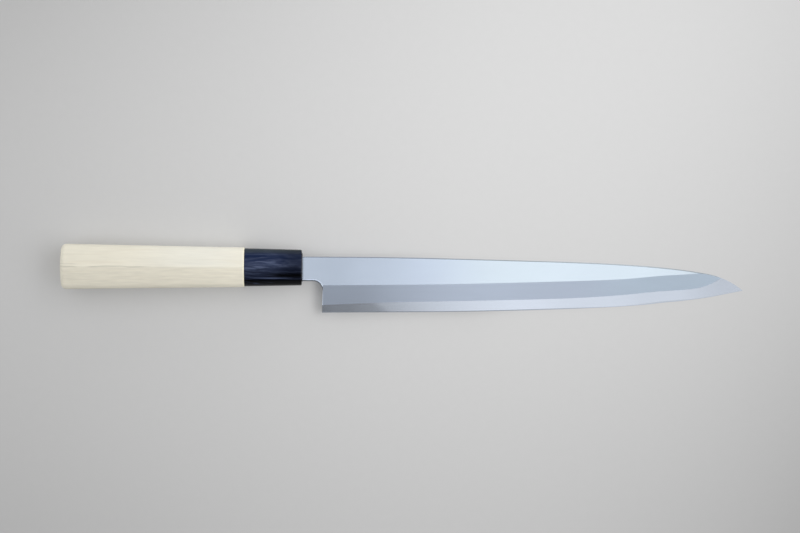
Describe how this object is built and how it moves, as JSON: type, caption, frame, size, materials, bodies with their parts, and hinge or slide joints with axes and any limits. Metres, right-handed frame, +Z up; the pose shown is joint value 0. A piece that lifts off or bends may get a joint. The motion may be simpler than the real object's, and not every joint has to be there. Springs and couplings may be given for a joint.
{
  "type": "yanagiba knife",
  "caption": "Long, narrow single-bevel slicing knife with a laminated blade, a driven tang, a dark horn ferrule and a pale wooden D-section grip.",
  "frame": {"origin": "middle of the knife's length and width, on the surface that it lies on", "axes": "+X from the butt to the tip, +Y towards the spine, +Z up out of the bevelled side. The handle's axis falls 1.49 degrees towards the tip, because the knife lies on the front end of its grip and on its tip."},
  "size_m": [0.3696, 0.0366, 0.0217],
  "materials": {
    "soft_iron": "polished upper flat, hazy satin bevel",
    "hard_steel": "fine satin",
    "pale_wood": "bare, sanded smooth",
    "horn": "polished, with faint lengthwise streaks",
    "filler": "matte"
  },
  "bodies": {
    "root": {"blade_body": "soft_iron", "cutting_steel": "hard_steel", "handle": "pale_wood", "ferrule": "horn", "mouth_seal": "filler"}
  },
  "joints": []
}
